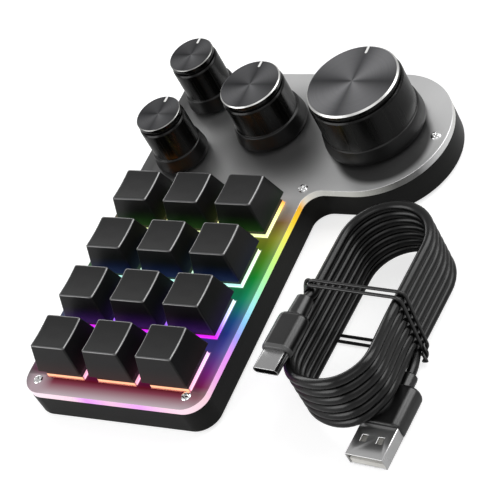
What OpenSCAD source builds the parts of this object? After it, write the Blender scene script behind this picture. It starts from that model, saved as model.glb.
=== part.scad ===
// Macro keypad with twelve keys and four push-turn knobs, and its detached USB cable.
// Millimetres, +Z up, +Y to the back. The origin is under the middle of the case, on the desk.

/* [Keys] */
// Distance between neighbouring key centres
key_pitch = 19.05; // [18.5:0.05:22]
// Width of the left margin, from the case's left edge to the first column's centre
key_margin_left = 14.65; // [14:0.05:20]
// Width of the right margin, from the last column's centre to the key bay's right edge
key_margin_right = 12.35; // [12:0.05:20]
// Depth of the front margin, from the case's front edge to the front row's centre
key_margin_front = 13.2; // [12.5:0.1:20]
// Depth of the back margin, from the back row's centre to the knob panel's front edge
key_margin_back = 12.05; // [12:0.05:20]
// Keycap width and depth at its bottom edge
cap_base = 16.0; // [15.6:0.1:17]
// Keycap width at its top
cap_top_w = 12.4; // [11:0.1:14]
// Keycap depth at its top
cap_top_d = 11.8; // [11:0.1:14]
// Keycap height
cap_h = 10.0; // [9:0.1:12]
// Keycap side wall thickness
cap_wall = 0.8; // [0.6:0.05:0.9]
// Keycap top thickness
cap_roof = 1.5; // [1.2:0.1:2]
// Depth of the shallow finger dish in a keycap's top
cap_dish = 0.35; // [0.1:0.05:0.6]
// Height of a keycap's bottom edge over the plate, at rest
cap_clearance = 3.7; // [3.5:0.1:5]
// How far a key travels when it is pressed
key_travel = 2.8; // [2:0.1:2.8]

/* [Case] */
// Overall width of the case, with the rounded lobe
case_w = 104.1; // [100:0.1:130]
// Depth of the knob panel, which is also the diameter of its rounded lobe
panel_d = 48.3; // [46:0.1:54]
// Height of the case wall
wall_h = 8.6; // [8.2:0.1:14]
// Thickness of the case wall
wall_t = 2.5; // [1.6:0.1:3]
// Thickness of the case floor
floor_t = 1.6; // [1:0.1:2]
// Radius of the case's outer corners
corner_r = 7.0; // [4:0.5:10]
// Radius of the inner curve where the key bay meets the knob panel
neck_r = 5.5; // [3:0.5:8]
// Thickness of the clear top plate
plate_t = 2.5; // [2:0.1:4]
// Diameter of a rubber foot
foot_dia = 9.0; // [6:0.5:12]
// Height of a rubber foot below the case
foot_h = 1.0; // [0.6:0.1:3]

/* [Knobs] */
// Body diameter of the large knob
large_dia = 30.6; // [26:0.1:32]
// Skirt diameter of the large knob
large_skirt_dia = 32.8; // [32.1:0.1:36]
// Height of the large knob's top over the plate
large_h = 20.7; // [18:0.1:26]
// Body diameter of the medium knob
medium_dia = 20.8; // [18:0.1:22]
// Skirt diameter of the medium knob
medium_skirt_dia = 24.2; // [22.1:0.1:26]
// Height of the medium knob's top over the plate
medium_h = 19.0; // [17:0.1:26]
// Body diameter of the two small knobs
small_dia = 15.4; // [14:0.1:16]
// Skirt diameter of the two small knobs
small_skirt_dia = 17.8; // [17.7:0.1:20]
// Height of the small knobs' tops over the plate
small_h = 19.6; // [17:0.1:26]
// Distance from the case's back edge to the axes of the large and the medium knob
knob_margin_back = 22.6; // [22:0.1:24]
// Distance from the case's left edge to the axes of the small knobs
knob_margin_left = 13.9; // [12.5:0.1:18]
// Distance between the axes of the two small knobs
small_spacing = 25.6; // [20:0.1:26]
// Distance of the medium knob's axis to the right of the small knobs' axes
medium_spacing = 27.8; // [23:0.1:30]
// How far a knob travels when it is pressed
push_travel = 0.5; // [0.3:0.05:0.6]
// Height of a knob's skirt
skirt_h = 6.2; // [4:0.1:8]
// Thickness of a knob's metal cap
knob_cap_t = 1.4; // [1:0.1:2]
// Width of the bright bevel round a knob's cap, as a share of the cap's radius
bevel_share = 0.055; // [0.03:0.005:0.08]

/* [Cable] */
// Diameter of the cable
cord_dia = 3.0; // [2.4:0.1:3.6]
// Turns in the wound hank
hank_turns = 7; // [4:1:8]
// Distance between the hank's straight sides, centre to centre of the cable
hank_w = 27.3; // [24:0.1:30]
// Length of the hank's straight sides
hank_straight = 35.5; // [30:0.1:40]
// Diameter of one wire of the tie round the hank
tie_dia = 1.2; // [0.8:0.1:1.6]

/* [Hidden] */
$fn = 64;
rows = 4;
columns = 3;
cut = 0.5;              // how far a cutting shape passes the face it cuts

// Heights, from the desk up
case_z = foot_h;
floor_z = case_z + floor_t;
plate_z = case_z + wall_h;
top_z = plate_z + plate_t;

// Outline of the case
bay_w = key_margin_left + (columns - 1) * key_pitch + key_margin_right;
case_d = key_margin_front + (rows - 1) * key_pitch + key_margin_back + panel_d;
left_x = -case_w / 2;
front_y = -case_d / 2;
back_y = case_d / 2;
bay_right_x = left_x + bay_w;
lobe_r = panel_d / 2;
lobe_x = case_w / 2 - lobe_r;
lobe_y = back_y - lobe_r;
neck_y = back_y - panel_d;

// Switches, measured from the plate's top face
switch_seat = 5.0;      // depth of the switch base below the plate's top face
switch_base_w = 13.9;
switch_step = 0.15;     // how far each side of the clear housing is in from the base
switch_top_w = switch_base_w - 2 * switch_step;
cutout_gap = 0.05;      // between a switch base and its cut-out in the plate
switch_top_h = 6.2;
switch_top_lip = 1.2;   // straight lower part of the clear housing
switch_top_lean = 1.6;  // how far each side leans in above the lip
switch_top_roof_w = switch_top_w - 2 * switch_top_lean;
switch_shell = 1.0;
slider_w = 6.4;
slider_gap = 0.1;
slider_top = switch_top_h - 0.2;
slider_bottom = switch_shell + 0.2 + key_travel - switch_seat;
cross_w = 4.0;
cross_t = 1.17;
cross_h = 3.6;
post_r = 2.6;
socket_r = 2.05;        // spring bore in the slider
spring_r = 1.85;
spring_wire = 0.4;
spring_coils = 5;
spring_seat = 1.5;      // thickness of the slider over the spring's bore
peg_r = 1.95;
peg_len = 3.0;

// Circuit board
board_t = 1.6;
board_top = top_z - switch_seat;
board_z = board_top - board_t;
board_gap = 0.5;
hole_gap = 0.1;         // round what sits in the board's holes
light_size = [3.2, 2.8, 1.6];
light_y = -4.7;
chip_size = [7, 7, 0.9];
chip_shift = 8;         // of the chip's middle, in front of the row of the larger knobs

// Encoders
encoder_w = 11.8;
encoder_d = 12.0;
encoder_body_h = 4.3;
encoder_gap = 0.3;
encoder_floor = 0.4;
neck_dia = 7.0;
neck_h = 4.0;
shaft_r = 3.0;
shaft_gap = 0.05;
shaft_flat = 2.2;       // distance of the shaft's flat from its axis
rotor_r = 5.0;
rotor_h = 1.4;
rotor_gap = 0.2;
shaft_rest = 1.0;       // height of the shaft's lower end over the board
rim_share = 0.965;      // a knob cap's radius, as a share of the knob's
knob_lift = push_travel + 0.4;
knob_roof = 3.0;
knob_wall = 2.0;
hollow_h = 5.6;         // height of the hollow under a knob, which clears the encoder's neck
skirt_edge_h = 1.2;     // straight lower edge of a knob's skirt
cone_share = 0.45;      // of the step from side to skirt, at the cone's upper end
cone_drop = 0.3;        // height of the small shoulder over the cone
// Groove under a knob's cap: its lower edge, bevel and floor, below the roof, and its depth
groove_low = 1.5;
groove_bevel = [0.3, 1.0];
groove_floor = 0.9;
groove_depth = 1.2;

// Screws and feet
screw_r = 0.9;
screw_head_r = 1.6;
screw_head_h = 0.7;
screw_len = 6.0;
screw_gap = 0.2;
boss_r = 2.8;
boss_gap = 0.5;
slot_w = 0.5;
slot_len = 2.0;
slot_depth = 0.4;
head_edge_share = 0.4;  // of the head's height, up to its straight edge
head_shoulder = [0.75, 0.85]; // shares of the head's radius and height
head_flat_share = 0.4;  // of the head's radius
boss_clear = 0.15;      // between a boss and a switch base
screw_inset = [5.1, 4.7];
front_screw_shift = 1.0; // the front right screw is this much further in
neck_screw = [-1.4, 0.5]; // from the neck's corner
lobe_screw = [-3.8, -1.0]; // from the lobe's outermost point
foot_inset = 9.0;

// USB socket, sunk into the board's back edge
socket_w = 8.94;
socket_h = 3.2;
socket_len = 7.4;
socket_wall = 0.3;
socket_back = 1.0;      // thickness of the socket's closed inner end
socket_tongue = [6.7, 0.7];
socket_tongue_len = 5.9;
socket_tongue_start = 0.5;
socket_x = -10.3;
port_gap = 0.25;
socket_setback = 0.9;
socket_z = board_top - board_t / 2;

// Places that repeat
screw_places = [
    [left_x + screw_inset.x, front_y + screw_inset.y],
    [bay_right_x - screw_inset.x - front_screw_shift, front_y + screw_inset.y],
    [bay_right_x, neck_y] + neck_screw,
    [case_w / 2, lobe_y] + lobe_screw,
    [left_x + screw_inset.x, back_y - screw_inset.y],
];
foot_places = [
    [left_x + foot_inset, front_y + foot_inset],
    [bay_right_x - foot_inset, front_y + foot_inset],
    [left_x + foot_inset, back_y - foot_inset],
    [lobe_x + foot_inset, lobe_y],
];

// Knobs: place, body radius, skirt radius, height over the plate
large_knob_shift = 1.0;  // of the large knob's axis, to the left of the lobe's middle
small_knob_shift = 0.7;  // of the small knobs' middle, in front of the row of the larger ones
knob_row_y = back_y - knob_margin_back;
small_knob_x = left_x + knob_margin_left;
medium_knob_x = small_knob_x + medium_spacing;
back_knob_y = knob_row_y - small_knob_shift + small_spacing / 2;
front_knob_y = knob_row_y - small_knob_shift - small_spacing / 2;
large_knob = [[lobe_x - large_knob_shift, knob_row_y], large_dia / 2, large_skirt_dia / 2, large_h];
medium_knob = [[medium_knob_x, knob_row_y], medium_dia / 2, medium_skirt_dia / 2, medium_h];
back_knob = [[small_knob_x, back_knob_y], small_dia / 2, small_skirt_dia / 2, small_h];
front_knob = [[small_knob_x, front_knob_y], small_dia / 2, small_skirt_dia / 2, small_h];
knobs = [large_knob, medium_knob, back_knob, front_knob];
knob_names = ["large", "medium", "back", "front"];

// Cable hank, in its own frame: its middle, and the turn of its long side from +Y
hank_place = [52.4, -25.9];
hank_turn = 3.8;
turn_pitch = cord_dia * 1.015;
hank_z = tie_dia;
hank_h = cord_dia + (hank_turns - 1) * turn_pitch;
tie_y = -0.9;
tie_spread = 3.0;
plug_gap = 0.2;         // between a plug's body and the hank
tie_slack = 0.3;        // between the hank's top and the tie
cord_sides = 8;

// USB-C plug, in the hank's frame: its axis and the ends of its pieces. It lies on the left run,
// where the top turn would be
c_axis = [-14.2, 21.9];
c_relief_y = -5.4;
c_body_y = -12.0;
c_shell_y = -24.4;
c_shell_len = 6.65;
c_body = [9.6, 5.2];
c_shell = [8.34, 2.56];
c_relief_h = 4.8;
c_wall = 0.35;
c_body_r = 2.2;

// USB-A plug, in the hank's frame. It lies on the desk, with its left part under the hank's bend
a_axis = [16.0, 3.4];
a_relief_y = -13.2;
a_body_y = -18.0;
a_shell_y = -31.6;
a_shell_len = 10.6;
a_body = [12.8, 6.8];
a_shell = [12.0, 4.5];
a_relief_h = 4.2;
a_wall = 0.35;
a_tongue = [10.8, 1.9];
a_tongue_front = 0.3;   // of the tongue behind the shell's open end
a_tongue_back = 1.8;    // of the tongue, less than the shell's length
a_body_r = 2.6;
a_shell_r = 0.4;
a_inside_r = 0.2;
latch_hole = [1.8, 2.2]; // each of the two square holes in the shell
latch_x = 2.6;
latch_share = 0.55;     // of the shell's length
shell_back = 1.5;       // thickness of a shell's closed end
relief_overlap = 1.0;
relief_wide = 1.2;      // width of a strain relief, as a share of its height
relief_round = 0.45;    // radius of its edges, as a share of its height

// The cable's two loose ends, from the plug to the hank's side
c_route = [[-14.2, -6.4, 21.9], [-14.15, -4.9, 21.6], [-13.7, -3.1, 21.05], [-13.6, -1, 20.9],
    [-13.6, 4, 20.9], [-13.65, 9, 20.9]];
a_route = [[16, -14.2, 3.4], [16, -12.4, 3.4], [15.6, -9.8, 3.3], [14.6, -6.8, 3], [13.8, -4.4, 2.8],
    [13.6, -2.6, 2.75], [13.6, 3, 2.75], [13.65, 9, 2.75]];

keycap_names = [for (r = [1 : rows]) for (c = [1 : columns]) str("keycap_r", r, "c", c)];
stem_names = [for (r = [1 : rows]) for (c = [1 : columns]) str("stem_r", r, "c", c)];

function key_x(c) = left_x + key_margin_left + (c - 1) * key_pitch;
function key_y(r) = front_y + key_margin_front + (rows - r) * key_pitch;

// Repeats what follows at every key
module at_keys() {
    for (r = [1 : rows]) for (c = [1 : columns]) translate([key_x(c), key_y(r), 0]) children();
}

module at_knobs() {
    for (k = knobs) translate([k[0].x, k[0].y, 0]) children();
}

// A box centred on its axis, standing on z
module block(w, d, z, h) {
    translate([-w / 2, -d / 2, z]) cube([w, d, h]);
}

// A four-sided block that narrows from its bottom to its top
module tapered_block(w0, d0, w1, d1, h) {
    intersection() {
        rotate([90, 0, 0]) linear_extrude(d0 + 2, center = true)
            polygon([[-w0 / 2, 0], [w0 / 2, 0], [w1 / 2, h], [-w1 / 2, h]]);
        rotate([90, 0, 90]) linear_extrude(w0 + 2, center = true)
            polygon([[-d0 / 2, 0], [d0 / 2, 0], [d1 / 2, h], [-d1 / 2, h]]);
    }
}

// A rectangle with rounded corners, from one corner to the other
module rounded_area(x0, y0, x1, y1, r) {
    translate([x0 + r, y0]) square([x1 - x0 - 2 * r, y1 - y0]);
    translate([x0, y0 + r]) square([x1 - x0, y1 - y0 - 2 * r]);
    for (x = [x0 + r, x1 - r]) for (y = [y0 + r, y1 - r]) translate([x, y]) circle(r);
}

// The case's outline, moved inwards by inset
module outline(inset) {
    rounded_area(left_x + inset, front_y + inset, bay_right_x - inset, back_y - inset, corner_r - inset);
    translate([bay_right_x - corner_r - inset, neck_y + inset])
        square([lobe_x - bay_right_x + corner_r + inset, panel_d - 2 * inset]);
    translate([lobe_x, lobe_y]) circle(lobe_r - inset, $fn = 128);
    difference() {
        translate([bay_right_x - inset - 1, neck_y - neck_r]) square(neck_r + inset + 1);
        translate([bay_right_x + neck_r, neck_y - neck_r]) circle(neck_r + inset);
    }
}

// A flat bar with round long edges, centred, along +Y
module stadium_bar(w, h, len) {
    translate([0, len, 0]) rotate([90, 0, 0]) linear_extrude(len) {
        square([w - h, h], center = true);
        for (x = [-1, 1]) translate([x * (w - h) / 2, 0]) circle(h / 2);
    }
}

// A box with rounded long edges, centred, along +Y
module soft_bar(w, h, r, len) {
    translate([0, len, 0]) rotate([90, 0, 0]) linear_extrude(len)
        rounded_area(-w / 2, -h / 2, w / 2, h / 2, r);
}

// ---- Case ----
module case_tray() {
    color("#1b1b1a") {
        difference() {
            translate([0, 0, case_z]) linear_extrude(wall_h) outline(0);
            translate([0, 0, floor_z]) linear_extrude(wall_h) outline(wall_t);
            translate([socket_x, back_y - wall_t - cut, socket_z])
                stadium_bar(socket_w + 2 * port_gap, socket_h + 2 * port_gap, wall_t + 2 * cut);
        }
        difference() {
            for (p = screw_places) translate([p.x, p.y, floor_z]) screw_boss();
            at_keys() block(switch_base_w + 2 * boss_clear, switch_base_w + 2 * boss_clear,
                board_top, switch_seat);
        }
    }
}

module screw_boss() {
    difference() {
        cylinder(r = boss_r, h = plate_z - floor_z);
        translate([0, 0, top_z - floor_z - screw_len]) cylinder(r = screw_r, h = screw_len);
    }
}

module rubber_feet() {
    color("#2a2a2a") for (p = foot_places) translate([p.x, p.y, 0]) cylinder(d = foot_dia, h = foot_h);
}

module top_plate() {
    cutout = switch_base_w + 2 * cutout_gap;
    color("#c9c9c4", 0.6) difference() {
        translate([0, 0, plate_z]) linear_extrude(plate_t) outline(0);
        at_keys() block(cutout, cutout, plate_z - cut, plate_t + 2 * cut);
        at_knobs() block(encoder_w + 2 * encoder_gap, encoder_d + 2 * encoder_gap, plate_z - cut,
            plate_t + 2 * cut);
        for (p = screw_places) translate([p.x, p.y, plate_z - cut])
            cylinder(r = screw_r + screw_gap, h = plate_t + 2 * cut);
    }
}

module plate_screws() {
    color("#d8d8d8") for (p = screw_places) translate([p.x, p.y, top_z]) pan_screw();
}

module pan_screw() {
    difference() {
        union() {
            rotate_extrude() polygon([[0, 0], [screw_head_r, 0], [screw_head_r, screw_head_h * head_edge_share],
                [screw_head_r * head_shoulder.x, screw_head_h * head_shoulder.y],
                [screw_head_r * head_flat_share, screw_head_h], [0, screw_head_h]]);
            translate([0, 0, -screw_len]) cylinder(r = screw_r, h = screw_len + 0.1);
        }
        for (a = [0, 90]) rotate([0, 0, a])
            translate([-slot_len / 2, -slot_w / 2, screw_head_h - slot_depth]) cube([slot_len, slot_w, 1]);
    }
}

// ---- Electronics ----
module circuit_board() {
    color("#123a22") {
        difference() {
            translate([0, 0, board_z]) linear_extrude(board_t) outline(wall_t + board_gap);
            for (p = screw_places) translate([p.x, p.y, board_z - cut])
                cylinder(r = boss_r + boss_gap, h = board_t + 2 * cut);
            at_keys() {
                translate([0, 0, board_z - cut]) cylinder(r = peg_r + hole_gap, h = board_t + 2 * cut);
                translate([0, light_y, 0])
                    block(light_size.x + 2 * hole_gap, light_size.y + 2 * hole_gap, board_z - cut,
                        board_t + 2 * cut);
            }
            translate([socket_x, back_y, 0])
                block(socket_w + 4 * hole_gap, 2 * (socket_len + socket_setback + 2 * hole_gap), board_z - cut,
                    board_t + 2 * cut);
        }
        translate([socket_x, knob_row_y - chip_shift, 0])
            block(chip_size.x, chip_size.y, board_z - chip_size.z, chip_size.z);
    }
}

module key_lights() {
    color("#f4f1e8") at_keys() translate([0, light_y, 0])
        block(light_size.x, light_size.y, board_top - light_size.z - 0.1, light_size.z);
}

module usb_socket() {
    color("#c8c8c8") translate([socket_x, back_y - socket_setback - socket_len, socket_z]) {
        difference() {
            stadium_bar(socket_w, socket_h, socket_len);
            translate([0, socket_back, 0])
                stadium_bar(socket_w - 2 * socket_wall, socket_h - 2 * socket_wall, socket_len);
        }
        translate([-socket_tongue.x / 2, socket_tongue_start, -socket_tongue.y / 2])
            cube([socket_tongue.x, socket_tongue_len, socket_tongue.y]);
    }
}

// ---- Switches ----
module switch_bases() {
    color("#222222") at_keys() {
        difference() {
            block(switch_base_w, switch_base_w, board_top, switch_seat);
            block(switch_base_w - 2 * switch_shell, switch_base_w - 2 * switch_shell,
                board_top + switch_shell, switch_seat);
        }
        translate([0, 0, board_top - peg_len]) cylinder(r = peg_r, h = peg_len + 0.1);
    }
}

module switch_tops() {
    opening = slider_w + 2 * slider_gap;
    inner_w = switch_top_w - 2 * switch_shell;
    inner_roof_w = switch_top_roof_w - 2 * switch_shell;
    color("#f0ece4", 0.7) at_keys() translate([0, 0, top_z]) difference() {
        union() {
            block(switch_top_w, switch_top_w, 0, switch_top_lip);
            translate([0, 0, switch_top_lip]) tapered_block(switch_top_w, switch_top_w,
                switch_top_roof_w, switch_top_roof_w, switch_top_h - switch_top_lip);
        }
        translate([0, 0, -0.01]) tapered_block(inner_w, inner_w, inner_roof_w, inner_roof_w,
            switch_top_h - switch_shell);
        block(opening, opening, 0, switch_top_h + cut);
    }
}

// One coil spring, as rings joined by a rising sweep
module switch_springs() {
    length = slider_top - spring_seat - (switch_shell - switch_seat);
    steps = 8 * spring_coils;
    turn_r = spring_r - spring_wire / 2;
    path = [for (i = [0 : steps]) [turn_r * cos(45 * i), turn_r * sin(45 * i),
        spring_wire / 2 + (length - spring_wire) * i / steps]];
    color("#b8b8b8") at_keys() translate([0, 0, board_top + switch_shell]) swept_tube(path, spring_wire / 2, 4);
}

// A tube swept along a path, with flat ends
module swept_tube(path, r, sides) {
    last = len(path) - 1;
    rings = [for (i = [0 : last]) tube_ring(path[i],
        unit(path[min(i + 1, last)] - path[max(i - 1, 0)]), r, sides)];
    points = [for (ring = rings) each ring];
    walls = [for (i = [0 : last - 1]) for (k = [0 : sides - 1])
        let (a = i * sides + k, b = i * sides + (k + 1) % sides) [a, a + sides, b + sides, b]];
    ends = [[for (k = [0 : sides - 1]) k], [for (k = [1 : sides]) (last + 1) * sides - k]];
    polyhedron(points, concat(walls, ends));
}

function unit(v) = v / norm(v);
// The ring's first side axis is level, so that neighbouring rings line up
function tube_ring(p, dir, r, sides) =
    let (side = unit(cross(dir, [0, 0, 1])), up = cross(side, dir))
    [for (k = [0 : sides - 1]) let (a = 360 * k / sides) p + r * (cos(a) * side + sin(a) * up)];

module stem() {
    color("#c9b28a") translate([0, 0, top_z]) {
        difference() {
            block(slider_w, slider_w, slider_bottom, slider_top - slider_bottom);
            translate([0, 0, slider_bottom - cut])
                cylinder(r = socket_r, h = slider_top - spring_seat - slider_bottom + cut);
        }
        block(cross_w, cross_t, slider_top, cross_h);
        block(cross_t, cross_w, slider_top, cross_h);
    }
}

module keycap() {
    dish_r = (pow(cap_top_d / 2, 2) + pow(cap_dish, 2)) / (2 * cap_dish);
    inside_h = cap_h - cap_roof;
    post_z = slider_top + 0.2 - cap_clearance;
    lean_w = (cap_base - cap_top_w) * inside_h / cap_h;
    lean_d = (cap_base - cap_top_d) * inside_h / cap_h;
    inner = cap_base - 2 * cap_wall;
    color("#333335") translate([0, 0, top_z + cap_clearance]) difference() {
        union() {
            difference() {
                tapered_block(cap_base, cap_base, cap_top_w, cap_top_d, cap_h);
                translate([0, 0, cap_h - cap_dish + dish_r]) rotate([0, 90, 0])
                    cylinder(r = dish_r, h = 2 * cap_base, center = true, $fn = 128);
                translate([0, 0, -0.01])
                    tapered_block(inner, inner, inner - lean_w, inner - lean_d, inside_h);
            }
            translate([0, 0, post_z]) cylinder(r = post_r, h = inside_h - post_z + 0.1);
        }
        block(cross_w, cross_t, post_z - cut, cross_h + cut - 0.2);
        block(cross_t, cross_w, post_z - cut, cross_h + cut - 0.2);
    }
}

// ---- Encoders and knobs ----
module encoder_housings() {
    color("#8d9094") at_knobs() translate([0, 0, board_top]) difference() {
        union() {
            block(encoder_w, encoder_d, 0, encoder_body_h);
            cylinder(d = neck_dia, h = encoder_body_h + neck_h);
        }
        translate([0, 0, rotor_z() - rotor_gap]) cylinder(r = rotor_r + rotor_gap, h = rotor_h + 2 * rotor_gap);
        translate([0, 0, encoder_floor]) cylinder(r = shaft_r + shaft_gap, h = encoder_body_h + neck_h);
    }
}

// Height of a rotor over the board
function rotor_z() = shaft_rest + 0.5;

// The round shape with one flat that a shaft's ends have
module d_shape(r, flat) {
    intersection() {
        circle(r);
        translate([-r - 1, -r - 1]) square([r + 1 + flat, 2 * r + 2]);
    }
}

module rotor() {
    color("#d9d4c5") translate([0, 0, board_top + rotor_z()]) linear_extrude(rotor_h) difference() {
        circle(rotor_r);
        d_shape(shaft_r + shaft_gap, shaft_flat + shaft_gap);
    }
}

// Height of a shaft's top over the board
function shaft_top(k) = switch_seat + k[3] - knob_cap_t - knob_roof;

module shaft(k) {
    flat_end = rotor_z() + rotor_h + push_travel + rotor_gap;
    bore_start = switch_seat + knob_lift + hollow_h;
    color("#b9bcc0") translate([0, 0, board_top]) {
        translate([0, 0, shaft_rest]) linear_extrude(flat_end - shaft_rest) d_shape(shaft_r, shaft_flat);
        translate([0, 0, flat_end]) cylinder(r = shaft_r, h = bore_start - flat_end);
        translate([0, 0, bore_start]) linear_extrude(shaft_top(k) - bore_start) d_shape(shaft_r, shaft_flat);
    }
}

module knob_body(k) {
    side_r = k[1];
    skirt_r = k[2];
    roof = k[3] - knob_cap_t;
    step = skirt_r - side_r;
    hollow_r = side_r - knob_wall;
    color("#101010") translate([0, 0, top_z]) difference() {
        rotate_extrude($fn = 128) polygon([[0, knob_lift], [skirt_r, knob_lift],
            [skirt_r, knob_lift + skirt_edge_h], [side_r + step * cone_share, skirt_h - cone_drop],
            [side_r, skirt_h], [side_r, roof - groove_low], [side_r - groove_bevel.x, roof - groove_bevel.y],
            [side_r - groove_depth, roof - groove_floor], [side_r - groove_depth, roof], [0, roof]]);
        translate([0, 0, knob_lift - cut]) cylinder(r = hollow_r, h = hollow_h + cut);
        translate([0, 0, knob_lift]) linear_extrude(roof - knob_roof - knob_lift) d_shape(shaft_r, shaft_flat);
    }
}

module knob_cap(k) {
    rim_r = k[1] * rim_share;
    bevel_w = rim_r * bevel_share;
    face_z = k[3] - knob_cap_t;
    color("#5a5a5c") translate([0, 0, top_z]) rotate_extrude($fn = 128)
        polygon([[0, face_z], [rim_r, face_z], [rim_r, k[3] - bevel_w], [rim_r - bevel_w, k[3]], [0, k[3]]]);
}

// ---- Cable ----
module in_hank_frame() {
    translate([hank_place.x, hank_place.y, 0]) rotate([0, 0, -hank_turn]) children();
}

// The hank's outline, grown by a distance from the cable's centre line
module hank_area(grow) {
    r = hank_w / 2 + grow;
    square([2 * r, hank_straight], center = true);
    for (y = [-1, 1]) translate([0, y * hank_straight / 2]) circle(r, $fn = 96);
}

// The wound turns as one ring, with room for the USB-C plug on it and the USB-A plug under it
module cable_hank() {
    reach = hank_straight + hank_w;
    c_room_w = c_body.x + 2 * plug_gap;
    a_room_w = a_body.x + 2 * plug_gap;
    color("#1d1d1d") in_hank_frame() difference() {
        translate([0, 0, hank_z]) linear_extrude(hank_h) difference() {
            hank_area(cord_dia / 2);
            hank_area(-cord_dia / 2);
        }
        translate([c_axis.x - c_room_w / 2, c_relief_y + plug_gap - reach, c_axis.y - c_body.y / 2 - plug_gap])
            cube([c_room_w, reach, hank_h]);
        translate([a_axis.x - a_room_w / 2, a_relief_y + plug_gap - reach, 0])
            cube([a_room_w, reach, a_axis.y + a_body.y / 2 + plug_gap]);
    }
}

module cable_end_c() {
    color("#1d1d1d") in_hank_frame() swept_tube(smooth_route(c_route), cord_dia / 2, cord_sides);
}

module cable_end_a() {
    color("#1d1d1d") in_hank_frame() swept_tube(smooth_route(a_route), cord_dia / 2, cord_sides);
}

// Points along a smooth curve through the route's own points
function smooth_route(p) = concat(
    [for (i = [0 : len(p) - 2]) each [for (t = [0, 1 / 3, 2 / 3])
        curve_point(p[max(i - 1, 0)], p[i], p[i + 1], p[min(i + 2, len(p) - 1)], t)]],
    [p[len(p) - 1]]);
function curve_point(a, b, c, d, t) = 0.5 * (2 * b + (c - a) * t + (2 * a - 5 * b + 4 * c - d) * pow(t, 2)
    + (3 * b - a - 3 * c + d) * pow(t, 3));

// Two wires, each a flat loop that wraps the hank
module cable_tie() {
    half_w = hank_w / 2 + cord_dia / 2;
    inner_h = hank_h + tie_slack;
    color("#262626") in_hank_frame() for (side = [-1, 1])
        translate([0, tie_y + side * tie_spread / 2, 0]) rotate([90, 0, 0])
            linear_extrude(tie_dia, center = true) difference() {
                translate([-half_w - tie_dia, 0]) square([2 * (half_w + tie_dia), inner_h + 2 * tie_dia]);
                translate([-half_w, tie_dia]) square([2 * half_w, inner_h]);
            }
}

// A plug's moulded body and strain relief, pointing to -Y
module plug_body(axis, size, r, relief_y, body_y, shell_y, relief_h) {
    in_hank_frame() translate([axis.x, 0, axis.y]) {
        translate([0, shell_y, 0]) soft_bar(size.x, size.y, r, body_y - shell_y);
        translate([0, body_y - relief_overlap, 0])
            soft_bar(relief_h * relief_wide, relief_h, relief_h * relief_round, relief_y - body_y + relief_overlap);
    }
}

module usb_c_plug_body() {
    color("#252525") plug_body(c_axis, c_body, c_body_r, c_relief_y, c_body_y, c_shell_y, c_relief_h);
}

module usb_a_plug_body() {
    color("#252525") plug_body(a_axis, a_body, a_body_r, a_relief_y, a_body_y, a_shell_y, a_relief_h);
}

module usb_c_plug_shell() {
    color("#c4c4c4") in_hank_frame() translate([c_axis.x, c_shell_y - c_shell_len, c_axis.y]) difference() {
        stadium_bar(c_shell.x, c_shell.y, c_shell_len);
        translate([0, -cut, 0]) stadium_bar(c_shell.x - 2 * c_wall, c_shell.y - 2 * c_wall,
            c_shell_len + cut - shell_back);
    }
}

module usb_a_plug_shell() {
    color("#c4c4c4") in_hank_frame() translate([a_axis.x, a_shell_y - a_shell_len, a_axis.y]) difference() {
        soft_bar(a_shell.x, a_shell.y, a_shell_r, a_shell_len);
        translate([0, -cut, 0])
            soft_bar(a_shell.x - 2 * a_wall, a_shell.y - 2 * a_wall, a_inside_r, a_shell_len + cut - shell_back);
        for (x = [-1, 1]) translate([x * latch_x, a_shell_len * latch_share, a_shell.y / 2 - a_wall - 0.1])
            block(latch_hole.x, latch_hole.y, 0, 1);
    }
}

module usb_a_plug_tongue() {
    top_gap = a_shell.y / 2 - a_wall;
    color("#e8e8e4") in_hank_frame()
        translate([a_axis.x - a_tongue.x / 2, a_shell_y - a_shell_len + a_tongue_front, a_axis.y - top_gap])
            cube([a_tongue.x, a_shell_len - a_tongue_back, a_tongue.y]);
}

case_tray();
rubber_feet();
top_plate();
plate_screws();
circuit_board();
switch_bases();
switch_tops();
switch_springs();
key_lights();
usb_socket();
encoder_housings();
for (r = [1 : rows]) for (c = [1 : columns]) translate([key_x(c), key_y(r), 0]) {
    keycap();
    stem();
}
for (i = [0 : len(knobs) - 1]) translate([knobs[i][0].x, knobs[i][0].y, 0]) {
    rotor();
    shaft(knobs[i]);
    knob_body(knobs[i]);
    knob_cap(knobs[i]);
}
cable_hank();
cable_end_c();
cable_end_a();
cable_tie();
usb_c_plug_body();
usb_c_plug_shell();
usb_a_plug_body();
usb_a_plug_shell();
usb_a_plug_tongue();
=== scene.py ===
"""Looks of the macro keypad with knobs and its USB cable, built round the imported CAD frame."""
import math

import bmesh
import bpy
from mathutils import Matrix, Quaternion, Vector


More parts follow.
